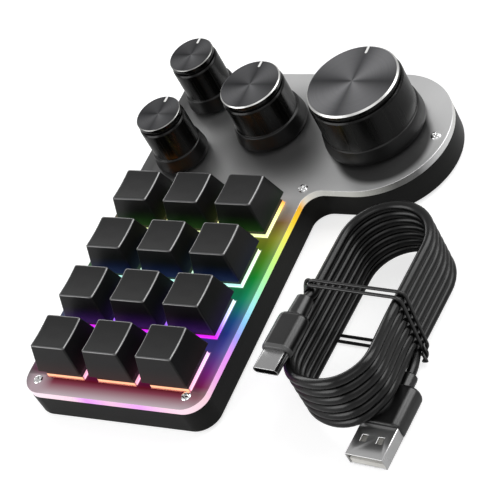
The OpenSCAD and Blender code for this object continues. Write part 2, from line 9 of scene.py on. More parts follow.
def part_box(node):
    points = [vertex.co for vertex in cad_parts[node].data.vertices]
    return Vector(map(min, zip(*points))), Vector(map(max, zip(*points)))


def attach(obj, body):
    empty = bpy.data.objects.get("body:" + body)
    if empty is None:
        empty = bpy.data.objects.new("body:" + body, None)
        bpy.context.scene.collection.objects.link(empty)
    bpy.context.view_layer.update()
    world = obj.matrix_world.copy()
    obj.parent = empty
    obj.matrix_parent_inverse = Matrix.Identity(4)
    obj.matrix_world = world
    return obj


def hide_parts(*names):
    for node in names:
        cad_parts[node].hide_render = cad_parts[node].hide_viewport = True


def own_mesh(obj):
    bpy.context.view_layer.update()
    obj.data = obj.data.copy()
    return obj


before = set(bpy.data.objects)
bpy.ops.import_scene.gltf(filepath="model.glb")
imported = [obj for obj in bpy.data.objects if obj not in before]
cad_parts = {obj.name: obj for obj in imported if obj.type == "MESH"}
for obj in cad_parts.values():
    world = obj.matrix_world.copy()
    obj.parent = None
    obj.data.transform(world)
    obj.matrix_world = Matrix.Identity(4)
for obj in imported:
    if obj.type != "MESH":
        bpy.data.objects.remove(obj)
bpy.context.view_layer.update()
MM = 0.001

# Places and sizes that repeat part.scad, in millimetres
KEY_X = (-37.4, -18.35, 0.7)
KEY_Y = (5.0, -14.05, -33.1, -52.15)          # rows 1 to 4, from the back
CASE_LEFT, CASE_FRONT, CASE_BACK, CORNER_R = -52.05, -65.35, 65.35, 7.0
BAY_RIGHT, NECK_Y, NECK_R = 13.05, 17.05, 5.5
LOBE_X, LOBE_Y, LOBE_R = 27.9, 41.2, 24.15
TOP_Z, LIP_Z = 12.1, 13.3                      # the top of the plate, and of the switch housings' lips
CAP_BASE, CAP_TOP_W, CAP_TOP_D, CAP_H, CAP_Z = 16.0, 12.4, 11.8, 10.0, 15.8
CAP_DISH, CAP_WALL, CAP_ROOF = 0.35, 0.8, 1.5
KNOBS = {                                      # axis x and y, side radius, skirt radius, height
    "large": (26.9, 42.75, 15.3, 16.4, 20.7),
    "medium": (-10.35, 42.75, 10.4, 12.1, 19.0),
    "back": (-38.15, 54.85, 7.7, 8.9, 19.6),
    "front": (-38.15, 29.25, 7.7, 8.9, 19.6),
}
KNOB_LIFT, SKIRT_H, KNOB_CAP_T, KNOB_ROOF, KNOB_WALL, HOLLOW_H, SHAFT_R = 0.9, 6.2, 1.4, 3.0, 2.0, 5.6, 3.05
SMALL_SIDE = 10.0                              # a knob with a smaller side radius has a narrower rim, painted dimmer
RIM_SHARE, BEVEL_SHARE, SMALL_BEVEL = 0.965, 0.034, 0.028
HANK_X, HANK_Y, HANK_TURN = 52.4, -25.9, math.radians(3.8)
CORD_D, TURN_PITCH, LEVELS = 3.0, 3.045, 7
HANK_R, HANK_HALF, LEVEL_1 = 13.65, 17.75, 2.7
C_ROUTE = ((-14.2, -6.4, 21.9), (-14.15, -4.9, 21.6), (-13.7, -3.1, 21.05), (-13.6, -1.0, 20.9),
           (-13.6, 4.0, 20.9), (-13.65, 9.0, 20.9))
A_ROUTE = ((16.0, -14.2, 3.4), (16.0, -12.4, 3.4), (15.6, -9.8, 3.3), (14.6, -6.8, 3.0),
           (13.8, -4.4, 2.8), (13.6, -2.6, 2.75), (13.6, 3.0, 2.75), (13.65, 9.0, 2.75))
C_AXIS, A_AXIS = (-14.2, 21.9), (16.0, 3.4)
C_SHELL_W, C_SHELL_H, C_SHELL_FRONT = 8.34, 2.56, -31.05


# ---- Camera ----
LENS, SENSOR_WIDTH = 140.9, 36.0
CAMERA_AT = (324.365, -303.261, 397.266)
CAMERA_FORWARD, CAMERA_ROLL = (-0.55069, 0.50888, -0.66166), math.radians(-31.963)


def make_camera():
    data = bpy.data.cameras.new("camera")
    data.sensor_fit = "HORIZONTAL"
    data.sensor_width = SENSOR_WIDTH
    data.lens = LENS
    data.clip_start = 0.01
    camera = bpy.data.objects.new("camera", data)
    bpy.context.scene.collection.objects.link(camera)
    camera.location = Vector(CAMERA_AT) * MM
    camera.rotation_mode = "QUATERNION"
    roll = Quaternion((0, 0, 1), CAMERA_ROLL)
    camera.rotation_quaternion = Vector(CAMERA_FORWARD).to_track_quat("-Z", "Y") @ roll
    bpy.context.scene.camera = camera


make_camera()


# ---- Mesh helpers ----
def add(name, data, body, materials=(), replaced=()):
    """A new piece from mesh or curve data, in metres, that rides on a body."""
    piece = bpy.data.objects.new(name, data)
    bpy.context.scene.collection.objects.link(piece)
    if not data.materials:
        for m in materials:
            data.materials.append(m)
    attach(piece, body)
    if replaced:
        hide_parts(*replaced)
    return piece


def mesh_of(name, shape, sharp=30):
    """A mesh from points in millimetres, smooth except at edges sharper than an angle in degrees."""
    points, faces, marks = shape
    data = bpy.data.meshes.new(name)
    data.from_pydata([Vector(p) * MM for p in points], [], faces)
    data.polygons.foreach_set("material_index", marks)
    mesh = bmesh.new()
    mesh.from_mesh(data)
    bmesh.ops.recalc_face_normals(mesh, faces=mesh.faces)
    mesh.to_mesh(data)
    mesh.free()
    data.polygons.foreach_set("use_smooth", [True] * len(data.polygons))
    data.set_sharp_from_angle(angle=math.radians(sharp))
    return data


CORNER_STEPS, LONGEST_CORNER = 4, 0.49         # the most of either side that a round corner takes up


def arc_corner(before, corner, after, radius):
    """Points of a round corner of a profile, or the corner itself where the radius is 0."""
    if radius <= 0:
        return [tuple(corner)]
    a, b = (before - corner).normalized(), (after - corner).normalized()
    turn = math.acos(max(-1.0, min(1.0, a.dot(b))))
    side = min((before - corner).length, (after - corner).length)
    reach = min(radius / math.tan(turn / 2), side * LONGEST_CORNER)
    radius = reach * math.tan(turn / 2)
    middle = corner + (a + b).normalized() * (radius / math.sin(turn / 2))
    start, end = corner + a * reach - middle, corner + b * reach - middle
    sweep = math.pi - turn
    points = []
    for i in range(CORNER_STEPS + 1):
        t = i / CORNER_STEPS
        spot = (start * math.sin((1 - t) * sweep) + end * math.sin(t * sweep)) / math.sin(sweep)
        points.append(tuple(middle + spot))
    return points


def round_profile(corners):
    """A profile of (radius, height, corner radius, mark) with its corners rounded, and each span's mark."""
    flat = [Vector(c[:2]) for c in corners]
    points, marks = [], []
    for i, c in enumerate(corners):
        inner = 0 < i < len(corners) - 1
        part = arc_corner(flat[i - 1], flat[i], flat[i + 1], c[2]) if inner else [tuple(flat[i])]
        points += part
        marks += [c[3]] * len(part)
    return points, marks[:-1]


def lathe(corners, around=128):
    """A solid of revolution round its own Z axis: points, faces and marks.

    A point on the axis stays one point."""
    profile, spans = round_profile(corners)
    points, rings = [], []
    for r, z in profile:
        if r < 1e-6:
            rings.append([len(points)] * around)
            points.append((0.0, 0.0, z))
            continue
        rings.append(list(range(len(points), len(points) + around)))
        points += [(r * math.cos(math.tau * k / around), r * math.sin(math.tau * k / around), z)
                   for k in range(around)]
    faces, marks = [], []
    for low, high, mark in zip(rings, rings[1:], spans):
        for k in range(around):
            j = (k + 1) % around
            face = [low[k], low[j], high[j], high[k]]
            face = [v for i, v in enumerate(face) if v != face[i - 1]]
            if len(face) > 2:
                faces.append(face)
                marks.append(mark)
    return points, faces, marks


def round_rect(w, d, r, steps=5, between=0):
    """Points round a rectangle with round corners, anticlockwise, with more along each straight side."""
    corners = []
    for i, (sx, sy) in enumerate(((1, 1), (-1, 1), (-1, -1), (1, -1))):
        turn = [math.pi / 2 * (i + k / steps) for k in range(steps + 1)]
        cx, cy = sx * (w / 2 - r), sy * (d / 2 - r)
        corners.append([(cx + r * math.cos(a), cy + r * math.sin(a)) for a in turn])
    points = []
    for corner, after in zip(corners, corners[1:] + corners[:1]):
        (x, y), (to_x, to_y) = corner[-1], after[0]
        shares = [k / (between + 1) for k in range(1, between + 1)]
        points += corner + [(x + (to_x - x) * t, y + (to_y - y) * t) for t in shares]
    return points


def loft(rings, marks=None):
    """A closed skin over rings with equal numbers of points: points, faces and marks."""
    n = len(rings[0])
    points = [tuple(p) for ring in rings for p in ring]
    faces = [[i * n + k, i * n + (k + 1) % n, (i + 1) * n + (k + 1) % n, (i + 1) * n + k]
             for i in range(len(rings) - 1) for k in range(n)]
    spans = [m for m in marks for _ in range(n)] if marks else [0] * len(faces)
    faces += [list(range(n))[::-1], [(len(rings) - 1) * n + k for k in range(n)]]
    return points, faces, spans + [spans[0], spans[-1]]


def joined(*parts):
    """Several shapes as one: points, faces and marks."""
    points, faces, marks = [], [], []
    for p, f, m in parts:
        faces += [[v + len(points) for v in face] for face in f]
        points += list(p)
        marks += list(m)
    return points, faces, marks


def even_normals(piece):
    """Keeps flat faces flat beside their small round edges."""
    weighted = piece.modifiers.new("even_normals", "WEIGHTED_NORMAL")
    weighted.keep_sharp = True
    weighted.weight = 80
    return piece


def soften(node, body, materials, width, mark=None, weigh=None, segments=2):
    """A CAD node's shape again, with its sharp edges rounded.

    mark gives each face's material, and weigh gives each edge's share of the width."""
    mesh = bmesh.new()
    mesh.from_mesh(bpy.data.objects[node].data)
    bmesh.ops.remove_doubles(mesh, verts=mesh.verts, dist=0.000005)
    bmesh.ops.dissolve_limit(mesh, angle_limit=math.radians(0.5), verts=mesh.verts, edges=mesh.edges)
    shares = mesh.edges.layers.float.new("bevel_weight_edge")
    for edge in mesh.edges:
        if len(edge.link_faces) == 2 and edge.calc_face_angle() > math.radians(30):
            middle = (edge.verts[0].co + edge.verts[1].co) / 2 / MM
            edge[shares] = weigh(middle) if weigh else 1.0
            edge.smooth = edge[shares] > 0
    for face in mesh.faces:
        face.smooth = True
        face.material_index = mark(face) if mark else 0
    data = bpy.data.meshes.new(node + "_soft")
    mesh.to_mesh(data)
    mesh.free()
    piece = add(node + "_soft", data, body, materials, (node,))
    bevel = piece.modifiers.new("round_edges", "BEVEL")
    bevel.width = width * MM
    bevel.segments = segments
    bevel.limit_method = "WEIGHT"
    bevel.use_clamp_overlap = True
    bevel.harden_normals = True
    return piece


# ---- Materials ----
def nodes_of(name):
    """A new material, its node tree and its shader."""
    material = bpy.data.materials.new(name)
    material.use_nodes = True
    tree = material.node_tree
    tree.nodes.clear()
    out = tree.nodes.new("ShaderNodeOutputMaterial")
    shader = tree.nodes.new("ShaderNodeBsdfPrincipled")
    tree.links.new(shader.outputs[0], out.inputs[0])
    return material, tree, shader


def rgb(code):
    """Linear colour of a web colour such as 1a1a1a."""
    parts = [int(code[i:i + 2], 16) / 255 for i in (0, 2, 4)]
    return tuple(p / 12.92 if p <= 0.04045 else ((p + 0.055) / 1.055) ** 2.4 for p in parts) + (1.0,)


def shade(colour, factor):
    return tuple(c * factor for c in colour[:3]) + (1.0,)


def noise(tree, vector, scale, detail=3.0):
    node = tree.nodes.new("ShaderNodeTexNoise")
    node.inputs["Scale"].default_value = scale
    node.inputs["Detail"].default_value = detail
    node.inputs["Roughness"].default_value = 0.55
    tree.links.new(vector, node.inputs["Vector"])
    return node.outputs["Fac"]


def ramp(tree, value, stops, interpolation="LINEAR"):
    node = tree.nodes.new("ShaderNodeValToRGB")
    node.color_ramp.interpolation = interpolation
    elements = node.color_ramp.elements
    while len(elements) < len(stops):
        elements.new(0.5)
    for element, (at, _) in zip(elements, stops):
        element.position = at
    for element, (_, colour) in zip(elements, stops):
        element.color = colour
    tree.links.new(value, node.inputs["Fac"])
    return node.outputs["Color"]


def spread(tree, value, low, high, to_low, to_high):
    """The value's place between low and high, as a number between to_low and to_high."""
    node = tree.nodes.new("ShaderNodeMapRange")
    node.inputs["From Min"].default_value = low
    node.inputs["From Max"].default_value = high
    node.inputs["To Min"].default_value = to_low
    node.inputs["To Max"].default_value = to_high
    tree.links.new(value, node.inputs["Value"])
    return node.outputs["Result"]


def fade(tree, value, low, high, to_low, to_high):
    """spread() with low and high in millimetres. value is in metres."""
    return spread(tree, value, low * MM, high * MM, to_low, to_high)


def math_node(tree, operation, a, b=None):
    node = tree.nodes.new("ShaderNodeMath")
    node.operation = operation
    for socket, value in zip(node.inputs, (a, b)):
        if isinstance(value, (int, float)):
            socket.default_value = value
        elif value is not None:
            tree.links.new(value, socket)
    return node.outputs[0]


def times(tree, first, *others):
    for value in others:
        first = math_node(tree, "MULTIPLY", first, value)
    return first


def larger(tree, a, b):
    return math_node(tree, "MAXIMUM", a, b)


def mix(tree, factor, a, b, blend="MIX"):
    node = tree.nodes.new("ShaderNodeMix")
    node.data_type = "RGBA"
    node.blend_type = blend
    for socket, value in ((node.inputs["Factor"], factor), (node.inputs[6], a), (node.inputs[7], b)):
        if isinstance(value, (int, float, tuple)):
            socket.default_value = value
        else:
            tree.links.new(value, socket)
    return node.outputs[2]


def bump(tree, shader, height, distance, strength):
    node = tree.nodes.new("ShaderNodeBump")
    node.inputs["Strength"].default_value = strength
    node.inputs["Distance"].default_value = distance
    tree.links.new(height, node.inputs["Height"])
    tree.links.new(node.outputs[0], shader.inputs["Normal"])


def place(tree):
    """The point's place in its object's own frame, in metres."""
    return tree.nodes.new("ShaderNodeTexCoord").outputs["Object"]


def split(tree, vector):
    node = tree.nodes.new("ShaderNodeSeparateXYZ")
    tree.links.new(vector, node.inputs[0])
    return node.outputs


SLOW, FINE = 60.0, 1980.0                      # scales of the noise for uneven colour and for grain


def moulded(name, code, roughness, grain=0.00003, specular=0.5, vary=0.18, metallic=0.0):
    """Moulded or cast surface: a fine grain, slow colour changes and uneven gloss."""
    material, tree, shader = nodes_of(name)
    where, colour, uneven = place(tree), rgb(code), 0.12
    slow = noise(tree, where, SLOW)
    base = ramp(tree, slow, ((0.3, shade(colour, 1 - vary)), (0.7, shade(colour, 1 + vary))))
    tree.links.new(base, shader.inputs["Base Color"])
    gloss = spread(tree, slow, 0.3, 0.7, roughness * (1 - uneven), roughness * (1 + uneven))
    tree.links.new(gloss, shader.inputs["Roughness"])
    shader.inputs["Specular IOR Level"].default_value = specular
    shader.inputs["Metallic"].default_value = metallic
    bump(tree, shader, noise(tree, where, FINE, 2.0), grain, 0.6)
    return material


CASE_BLACK = moulded("case_black", "080807", 0.32, specular=0.2)
RUBBER = moulded("rubber", "202020", 0.8, 0.00008)
CHROME = moulded("chrome", "e8e8e8", 0.12, 0.00001, metallic=1.0, vary=0.04)
BOARD = moulded("board_green", "123a22", 0.5)
STEM_TAN = moulded("stem_tan", "b99c6e", 0.42)
SPRING = moulded("spring_steel", "b8b8b8", 0.25, metallic=1.0)
TIN = moulded("tinned_steel", "c2c2c0", 0.3, metallic=1.0)
ENCODER = moulded("encoder_zinc", "8d9094", 0.4, metallic=0.8)
ROTOR = moulded("rotor_plastic", "d9d4c5", 0.45)
SHAFT = moulded("shaft_steel", "b9bcc0", 0.28, metallic=1.0)
KNOB_SKIRT = moulded("knob_satin", "0c0c0c", 0.36, 0.00002, specular=0.3)
# A lit and a shaded copy of one rim metal: the rims of the small knobs are painted dimmer.
RIM_BRIGHT = moulded("rim_painted_bright", "d4d4d2", 0.36, 0.000004, metallic=0.85, vary=0.02)
RIM_DIM = moulded("rim_painted_dim", "8c8c8a", 0.36, 0.000004, metallic=0.9, vary=0.02)
POINTER_WHITE = moulded("pointer_white", "f2f2f0", 0.5, vary=0.04)
CORD_BLACK = moulded("cord_black", "060606", 0.28, 0.00001, specular=0.36)
PLUG_BLACK = moulded("plug_black", "0a0a0a", 0.32, 0.00002, specular=0.65)
PLUG_RING = moulded("plug_ring", "545454", 0.35, 0.00002)
CAP_EDGE = moulded("keycap_edge", "141415", 0.3, 0.00001, specular=1.0, vary=0.05)
CAP_EDGE.node_tree.nodes["Principled BSDF"].inputs["IOR"].default_value = 1.75
MOUTH_BLACK = moulded("plug_mouth", "050505", 0.5, specular=0.1)
TIE_BLACK = moulded("tie_black", "1a1a1a", 0.3, 0.00001, specular=0.5)
NICKEL = moulded("nickel", "cfcfcf", 0.3, 0.00001, metallic=1.0, vary=0.06)
# A darker copy of the nickel, painted shade, for the USB-C shell
NICKEL_PAINTED_DIM = moulded("nickel_painted_dim", "b8b8b8", 0.28, 0.00001, metallic=1.0, vary=0.06)
TONGUE = moulded("tongue_white", "e6e4de", 0.5)


def drawn_plastic(name, dark, light):
    """Glossy side of a knob, with fine upright streaks."""
    material, tree, shader = nodes_of(name)
    flat = tree.nodes.new("ShaderNodeCombineXYZ")
    for socket, value, factor in zip(flat.inputs, split(tree, place(tree)), (1.0, 1.0, 0.02)):
        tree.links.new(times(tree, value, factor), socket)
    streaks = noise(tree, flat.outputs[0], 1400.0, 2.0)
    tree.links.new(ramp(tree, streaks, ((0.35, rgb(dark)), (0.7, rgb(light)))), shader.inputs["Base Color"])
    tree.links.new(spread(tree, streaks, 0.3, 0.7, 0.17, 0.3), shader.inputs["Roughness"])
    shader.inputs["Specular IOR Level"].default_value = 0.22
    bump(tree, shader, streaks, 0.00001, 0.6)
    return material


KNOB_SIDE = drawn_plastic("knob_gloss", "030303", "0e0e0d")


def spun_metal(name, dark, light):
    """Turned face of a knob's cap: fine rings round the axis, and a painted sheen of four light and four dark rays.
    """
    material, tree, shader = nodes_of(name)
    x, y, _ = split(tree, place(tree))
    x2, y2 = times(tree, x, x), times(tree, y, y)
    square = larger(tree, math_node(tree, "ADD", x2, y2), 1e-10)
    rings = tree.nodes.new("ShaderNodeTexNoise")
    rings.noise_dimensions = "1D"
    rings.inputs["Scale"].default_value = 3500.0
    rings.inputs["Detail"].default_value = 4.0
    tree.links.new(math_node(tree, "SQRT", square), rings.inputs["W"])
    grooves = rings.outputs["Fac"]
    # painted sheen: the base colour goes light and dark four times round the axis
    painted_sheen_rays = times(tree, math_node(tree, "DIVIDE", times(tree, x2, y2), times(tree, square, square)), 4.0)
    painted_sheen_tone = mix(tree, math_node(tree, "POWER", painted_sheen_rays, 0.6), rgb(dark), rgb(light))
    uneven = ramp(tree, grooves, ((0.3, (0.82, 0.82, 0.82, 1)), (0.7, (1, 1, 1, 1))))
    tree.links.new(mix(tree, 1.0, painted_sheen_tone, uneven, "MULTIPLY"), shader.inputs["Base Color"])
    tree.links.new(spread(tree, grooves, 0.3, 0.7, 0.3, 0.4), shader.inputs["Roughness"])
    shader.inputs["Metallic"].default_value = 1.0
    shader.inputs["Anisotropic"].default_value = 0.7
    tangent = tree.nodes.new("ShaderNodeTangent")
    tangent.direction_type = "RADIAL"
    tangent.axis = "Z"
    tree.links.new(tangent.outputs[0], shader.inputs["Tangent"])
    bump(tree, shader, grooves, 0.00001, 0.4)
    return material


# Lit and shaded copies of one spun metal: the large knob's face is painted brightest, the small knobs' darkest.
SPUN = {"large": spun_metal("spun_painted_bright", "4c4c4e", "8a8a8c"),
        "medium": spun_metal("spun_painted_mid", "3a3a3c", "6a6a6c")}
SPUN["back"] = SPUN["front"] = spun_metal("spun_painted_dim", "363638", "5c5c5e")


def along(tree, value, low, high, stops, interpolation="LINEAR"):
    """A colour ramp over a length in millimetres. value is in metres."""
    share = fade(tree, value, low, high, 0.0, 1.0)
    return ramp(tree, share, [((at - low) / (high - low), rgb(code)) for at, code in stops], interpolation)


def keycap_plastic(name, glow_colour, strength):
    """Black keycap with a painted glow: its lower part, most of all its front face, gives off a little of the
    colour of the light under its row.
    """
    material, tree, shader = nodes_of(name)
    where = place(tree)
    slow = noise(tree, where, SLOW)
    base = ramp(tree, slow, ((0.3, rgb("090909")), (0.7, rgb("0b0b0c"))))
    tree.links.new(base, shader.inputs["Base Color"])
    tree.links.new(spread(tree, slow, 0.3, 0.7, 0.36, 0.42), shader.inputs["Roughness"])
    shader.inputs["Specular IOR Level"].default_value = 0.36
    facing = split(tree, tree.nodes.new("ShaderNodeTexCoord").outputs["Normal"])
    # painted glow, fading out over the lowest 6 mm of the cap and weaker off its front face
    low = math_node(tree, "POWER", fade(tree, split(tree, where)[2], 0.0, 6.0, 1.0, 0.0), 1.5)
    near = spread(tree, facing[1], -0.6, -0.3, 1.0, 0.25)
    shader.inputs["Emission Color"].default_value = rgb(glow_colour)
    tree.links.new(times(tree, low, near, strength), shader.inputs["Emission Strength"])
    bump(tree, shader, noise(tree, where, 2000.0, 2.0), 0.00003, 0.6)
    return material


# Colour and strength of the painted glow on the keycaps of rows 1 to 4
CAP_PAINTED_GLOWS = (("green", "34e01c", 0.034), ("navy", "1c5cff", 0.046), ("violet", "9030ff", 0.07),
             ("peach", "ff8070", 0.02))
CAP_LOOKS = [keycap_plastic("keycap_" + name, glow_colour, strength) for name, glow_colour, strength in CAP_PAINTED_GLOWS]

# Colours of the light, at places in millimetres. Over the case's length (y) they are for the lit rims' front
# faces, their other faces, the plate and its edge. Over its width (x) they are for the edge's front and the lobe's.
RIM_FRONT = ((-66, "ffb890"), (-49, "e828f8"), (-30, "c8fff6"), (-11, "f8ffc4"))
RIM_SIDES = ((-58.9, "5c0c20"), (-58.3, "ffbcd0"), (-46, "ffc8ff"), (-40, "d030ff"), (-37, "b070ff"),
             (-32.5, "ccc8ff"), (-25, "e4fffc"), (-12, "dcffd8"), (-3, "f8ffc4"), (5, "ffffb8"),
             (8, "ffec90"), (12, "ffa83c"))
PLATE_GLOW = ((-65.3, "c8b8c0"), (-63, "a6858d"), (-61, "843e50"), (-59.4, "5c0a1c"), (-57, "7c1c54"),
              (-52, "7c2480"), (-44, "4c4498"), (-38, "28388c"), (-33, "1c508c"), (-25, "189068"),
              (-17, "149030"), (-9, "588c20"), (-2, "90942c"), (5, "84603c"), (13, "606060"))
EDGE_GLOW = ((-60, "ffd4e4"), (-52, "f6a8f2"), (-44, "ec96ff"), (-38, "a8a4ff"), (-33, "90d0ff"),
             (-27, "a4f4f8"), (-20, "aaffc0"), (-12, "c4ff8c"), (0, "fcf45c"), (7, "ffd024"),
             (11, "ffbc3c"), (14, "ece4d4"), (17, "dcdcd8"))
EDGE_FRONT = ((-50, "f4eaf0"), (-32, "ffd4e8"), (-27, "ec98ff"), (-18, "f8c4e4"), (-8, "f0a4f8"),
              (2, "ffd0e8"), (9, "ffe0ec"))
EDGE_LOBE = ((14, "dcdcd8"), (28, "cacac4"), (42, "585856"), (47, "606060"), (52, "dcdcdc"))
LIT_FRONT, LIT_BACK = -66.0, 16.0              # the lit stretch of the case's length


def glowing_rim(name, low, high, lit_low, lit_high, dark):
    """Switch housing with a lit part, where each row has its own colours.

    Its share of light goes from lit_low at the height low to lit_high at the height high."""
    material, tree, shader = nodes_of(name)
    where = place(tree)
    _, y, z = split(tree, where)
    facing = split(tree, tree.nodes.new("ShaderNodeTexCoord").outputs["Normal"])
    front = along(tree, y, LIT_FRONT, LIT_BACK, RIM_FRONT, "CONSTANT")
    sides = along(tree, y, LIT_FRONT, LIT_BACK, RIM_SIDES)
    colour = mix(tree, spread(tree, facing[1], -0.6, -0.4, 1.0, 0.0), sides, front)
    lit = fade(tree, z, low, high, lit_low, lit_high)
    tree.links.new(mix(tree, lit, rgb(dark), colour), shader.inputs["Base Color"])
    tree.links.new(colour, shader.inputs["Emission Color"])
    tree.links.new(times(tree, lit, 0.85), shader.inputs["Emission Strength"])
    tree.links.new(spread(tree, noise(tree, where, 300.0), 0.3, 0.7, 0.25, 0.4), shader.inputs["Roughness"])
    return material


# Above the lip the clear housing is painted dark, a painted shade under the keycap.
SWITCH_GLOW = glowing_rim("switch_glow", LIP_Z - 0.05, LIP_Z + 0.1, 1.0, 0.02, "141414")
BASE_GLOW = glowing_rim("switch_base_glow", TOP_Z - 0.6, TOP_Z - 0.3, 0.0, 1.0, "232323")
LIGHT_WHITE = moulded("led_white", "f4f1e8", 0.3)


PAINTED_SHADE_SIDE = (0.62, -0.78)                     # which way the painted dark reflection of a knob lies from it on the plate
PAINTED_KNOB_SHADES = (                                # painted shade beside each knob: how far off its centre is, its radii and its share of light
    ("large", 9.0, 13.8, 16.5, 0.12),
    ("medium", 8.0, 9.0, 27.0, 0.22),
    ("back", 5.0, 7.0, 17.0, 0.35),
    ("front", 5.0, 7.0, 17.0, 0.35),
)


def painted_knob_shade(tree, x, y, name, reach, near, far, low):
    """Factor for the painted shade on the plate beside a knob, a painted dark reflection of it: low up to the
    distance near, and 1 from the distance far.
    """
    dx = math_node(tree, "SUBTRACT", x, (KNOBS[name][0] + PAINTED_SHADE_SIDE[0] * reach) * MM)
    dy = math_node(tree, "SUBTRACT", y, (KNOBS[name][1] + PAINTED_SHADE_SIDE[1] * reach) * MM)
    square = math_node(tree, "ADD", times(tree, dx, dx), times(tree, dy, dy))
    factor = fade(tree, math_node(tree, "SQRT", square), near, far, low, 1.0)
    factor.node.interpolation_type = "SMOOTHSTEP"
    return factor


def from_keys(tree, value, places):
    """Distance along one axis from the nearest of a row of keys, which stand at even steps."""
    step, last = (places[1] - places[0]) * MM, len(places) - 1.0
    share = math_node(tree, "DIVIDE", math_node(tree, "SUBTRACT", value, places[0] * MM), step)
    nearest = math_node(tree, "MINIMUM", larger(tree, math_node(tree, "ROUND", share), 0.0), last)
    return times(tree, math_node(tree, "ABSOLUTE", math_node(tree, "SUBTRACT", share, nearest)), abs(step))


def frosted_plate():
    """Top of the satin plate. Its back mirrors what is round it softly, with a painted dark reflection beside each
    knob, painted shade at the left and painted light towards the right. Its bay is painted dark among the keys and
    lit there.
    """
    material, tree, shader = nodes_of("plate_frosted")
    where = place(tree)
    x, y, _ = split(tree, where)
    slow = noise(tree, where, SLOW)
    bay = times(tree, fade(tree, x, -52.2, -48.5, 0.3, 1.0), fade(tree, x, 16.5, 12.5, 0.0, 1.0),
                fade(tree, y, 4, 14, 1.0, 0.0))
    # the back: satin metal, with painted shade beside the knobs and at the left, and painted light towards the
    # right
    light = ramp(tree, slow, ((0.3, rgb("dedede")), (0.7, rgb("e4e4e4"))))
    painted_shade = times(tree, *(painted_knob_shade(tree, x, y, *knob) for knob in PAINTED_KNOB_SHADES),
                   fade(tree, x, 12, 45, 0.82, 1.0), fade(tree, x, -48, -36, 0.14, 1.0))
    painted_dim = mix(tree, painted_shade, (0.02, 0.02, 0.02, 1), light)
    # in the bay the base is painted near black, a painted shade among the keys under their light
    tree.links.new(mix(tree, bay, painted_dim, rgb("080808")), shader.inputs["Base Color"])
    tree.links.new(spread(tree, bay, 0.0, 1.0, 0.8, 0.0), shader.inputs["Metallic"])
    tree.links.new(spread(tree, bay, 0.0, 1.0, 0.5, 0.05), shader.inputs["Specular IOR Level"])
    tree.links.new(spread(tree, slow, 0.3, 0.7, 0.32, 0.38), shader.inputs["Roughness"])
    bump(tree, shader, noise(tree, where, 1500.0, 2.0), 0.00001, 0.5)
    # the bay: its light, paler at the front corners and at the right, and a bright line round the keys
    ends = larger(tree, fade(tree, x, -46, -41.5, 1.0, 0.0), fade(tree, x, 5.5, 7.5, 0.0, 0.25))
    pale = times(tree, ends, fade(tree, y, -59, -57, 1.0, 0.0))
    glow = mix(tree, pale, along(tree, y, LIT_FRONT, LIT_BACK, PLATE_GLOW), rgb("b4a0a8"))
    glow = mix(tree, fade(tree, x, 10.2, 12.5, 0.0, 0.05), glow, (1, 1, 1, 1))
    away = larger(tree, from_keys(tree, x, KEY_X), from_keys(tree, y, KEY_Y))
    spill = fade(tree, away, 7.0, 7.4, 0.8, 0.0)
    colour = mix(tree, spill, glow, along(tree, y, LIT_FRONT, LIT_BACK, RIM_SIDES))
    tree.links.new(colour, shader.inputs["Emission Color"])
    power = larger(tree, fade(tree, x, 8, 11.8, 0.6, 1.1), fade(tree, y, -57.5, -59, 0.0, 1.0))
    strength = times(tree, larger(tree, times(tree, bay, power), spill), 0.88)
    tree.links.new(strength, shader.inputs["Emission Strength"])
    return material


def glowing_edge():
    """Edge of the plate, which gathers the light."""
    material, tree, shader = nodes_of("plate_edge")
    where = place(tree)
    x, y, _ = split(tree, where)
    glow = along(tree, y, LIT_FRONT, 20, EDGE_GLOW)
    front = along(tree, x, -52, 14, EDGE_FRONT)
    lobe = along(tree, x, 13, 53, EDGE_LOBE)
    colour = mix(tree, fade(tree, y, -63.5, -59.5, 1.0, 0.0), glow, front)
    on_lobe = times(tree, fade(tree, x, 13.5, 20, 0.0, 1.0), fade(tree, y, 40, 50, 1.0, 0.0))
    colour = mix(tree, on_lobe, colour, lobe)
    tree.links.new(mix(tree, 1.0, colour, (0.35, 0.35, 0.35, 1), "MULTIPLY"), shader.inputs["Base Color"])
    tree.links.new(colour, shader.inputs["Emission Color"])
    tree.links.new(fade(tree, y, 12, 18, 0.8, 0.55), shader.inputs["Emission Strength"])
    tree.links.new(spread(tree, noise(tree, where, 200.0), 0.3, 0.7, 0.2, 0.32), shader.inputs["Roughness"])
    return material


PLATE_TOP, PLATE_EDGE = frosted_plate(), glowing_edge()


# ---- Cable ----
PLUG_RISE = Vector((0.881, -0.712, 1.0)) * 4.15        # how a turn moves where it passes over the USB-A plug
RISE_FROM, RISE_TO, FALL_FROM, FALL_TO = -12.75, 6.0, 12.5, 30.0
BEND_LOW, BEND_PITCH, BEND_MIDDLE, BEND_END = 3.2, 3.56, 0.5, 0.84


def from_hank(u, v, z):
    """A point of the hank's own frame, in millimetres of the object's frame."""
    c, s = math.cos(HANK_TURN), math.sin(HANK_TURN)
    return Vector((HANK_X + u * c + v * s, HANK_Y - u * s + v * c, z))


def smooth_route(p, steps=3):
    """Points of a smooth curve through the points of a route."""
    points = []
    for i in range(len(p) - 1):
        a, b, c, d = (Vector(p[max(0, min(len(p) - 1, k))]) for k in (i - 1, i, i + 1, i + 2))
        for t in (k / steps for k in range(steps)):
            points.append(0.5 * (2 * b + (c - a) * t + (2 * a - 5 * b + 4 * c - d) * t ** 2
                                 + (3 * b - a - 3 * c + d) * t ** 3))
    return points + [Vector(p[-1])]


def level(k):
    """Height of the cable in the wound turn k, from 1 at the bottom."""
    return LEVEL_1 + (k - 1) * TURN_PITCH


def ease(t):
    """Smooth step from 0 to 1 as t goes from 0 to 1."""
    t = max(0.0, min(1.0, t))
    return t * t * (3 - 2 * t)


